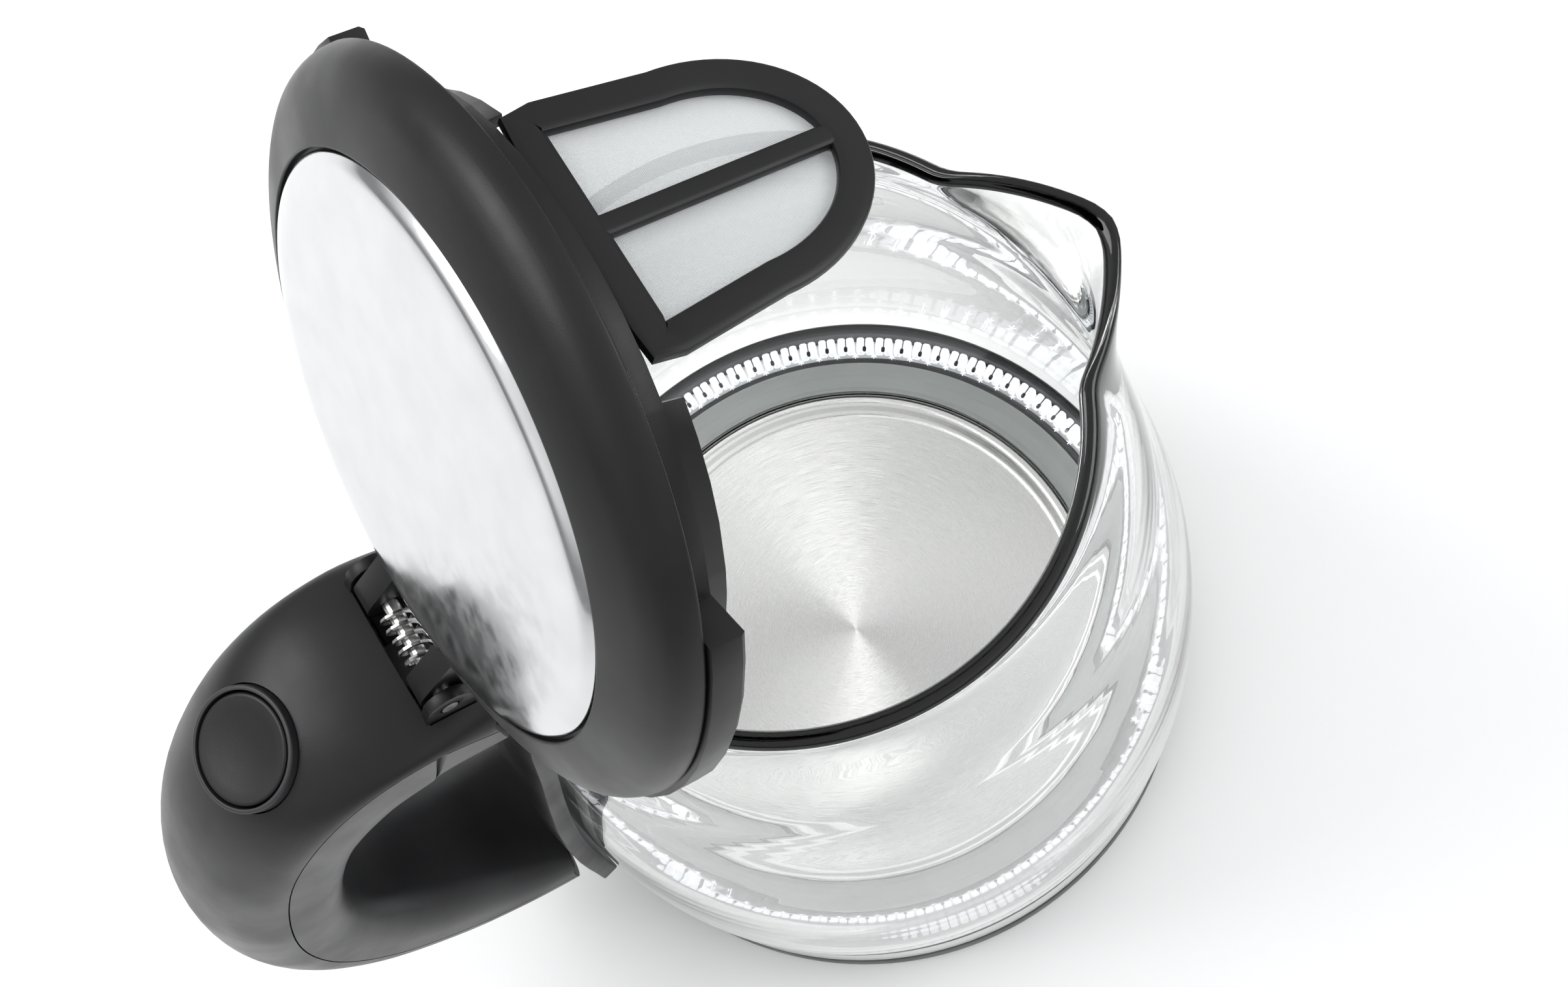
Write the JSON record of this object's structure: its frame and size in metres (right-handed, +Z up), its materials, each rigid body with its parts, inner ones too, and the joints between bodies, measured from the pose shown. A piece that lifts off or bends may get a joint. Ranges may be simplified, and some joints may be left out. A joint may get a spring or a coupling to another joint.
{
  "type": "electric kettle",
  "caption": "Cordless glass jug kettle with a hinged lid standing open, spout filter, D-shaped handle, lit base ring and a round power base.",
  "frame": {"origin": "centre of the power base's underside, on the jug's axis", "axes": "+Z up, +X toward the spout, -X toward the handle, symmetric about the XZ plane"},
  "size_m": [0.2326, 0.1632, 0.3434],
  "materials": {
    "black_plastic": "satin black moulding",
    "grey_plastic": "satin dark grey moulding",
    "white_plastic": "plain moulding",
    "brushed_steel": "brushed in circles",
    "polished_steel": "polished",
    "aluminium": "plain",
    "brass": "plain",
    "glass": "clear, fire polished rim",
    "clear_plastic": "clear, faceted",
    "silicone": "pale, soft",
    "rubber": "matt",
    "gauze": "fine woven gauze"
  },
  "bodies": {
    "power_base": {"power_base_top": "black_plastic", "power_base_bottom": "black_plastic", "base_connector": "black_plastic", "contact_pin": "brass", "contact_ring": "brass", "cord_gland": "grey_plastic", "foot_1": "rubber", "foot_2": "rubber", "foot_3": "rubber", "foot_4": "rubber", "power_base_screw_1": "brushed_steel", "power_base_screw_2": "brushed_steel", "power_base_screw_3": "brushed_steel"},
    "socket": {"kettle_socket": "black_plastic"},
    "jug": {"glass_jug": "glass", "heating_plate": "brushed_steel", "plate_gasket": "silicone", "heat_spreader": "aluminium", "heating_element": "aluminium", "thermostat_control": "white_plastic", "base_carrier": "black_plastic", "base_cover": "black_plastic", "base_trim": "polished_steel", "base_seal_ring": "black_plastic", "light_ring": "clear_plastic", "led_board": "white_plastic", "base_screw_1": "brushed_steel", "base_screw_2": "brushed_steel", "base_screw_3": "brushed_steel", "handle_cover": "black_plastic", "handle_grip": "grey_plastic", "handle_spine": "black_plastic", "bond_pad": "silicone", "hinge_bracket": "black_plastic", "hinge_pin": "brushed_steel", "button_housing": "polished_steel", "button_spring": "brushed_steel", "steam_tube": "white_plastic", "lid_spring": "brushed_steel"},
    "lid": {"lid_cover": "black_plastic", "lid_panel": "brushed_steel", "lid_base": "grey_plastic", "lid_gasket": "silicone", "lid_catch": "brushed_steel", "filter_clip": "black_plastic"},
    "filter": {"filter_frame": "black_plastic", "filter_mesh": "gauze"},
    "button": {"lid_button": "black_plastic"},
    "latch": {"latch_slider": "grey_plastic"},
    "switch": {"switch_lever": "grey_plastic"}
  },
  "joints": [
    {"name": "lift_off", "type": "slide", "parent": "power_base", "child": "socket", "axis": [0, 0, 1], "range_m": [0, 0.05]},
    {"name": "turn_on_base", "type": "hinge", "parent": "socket", "child": "jug", "pos_m": [0, 0, 0.02], "axis": [0, 0, 1], "continuous": true},
    {"name": "lid_hinge", "type": "hinge", "parent": "jug", "child": "lid", "pos_m": [-0.0755, 0, 0.2178], "axis": [0, -1, 0], "range_deg": [-67.3, 0], "stiffness_Nm_per_rad": 0.06, "springref_deg": 68.75, "deforming": ["lid_spring"]},
    {"name": "filter_slide", "type": "slide", "parent": "lid", "child": "filter", "axis": [0.9225, 0, -0.3859], "range_m": [0, 0.008]},
    {"name": "button_press", "type": "slide", "parent": "jug", "child": "button", "axis": [0.454, 0, -0.891], "range_m": [0, 0.003], "stiffness_N_per_m": 300, "deforming": ["button_spring"]},
    {"name": "latch_slide", "type": "slide", "parent": "jug", "child": "latch", "axis": [-1, 0, 0], "range_m": [0, 0.003]},
    {"name": "switch_rock", "type": "hinge", "parent": "jug", "child": "switch", "pos_m": [-0.101, 0, 0.044], "axis": [0, 1, 0], "range_deg": [-8, 0]}
  ],
  "couplings": [
    {"joint": "latch_slide", "follows": "button_press", "ratio": 1}
  ]
}
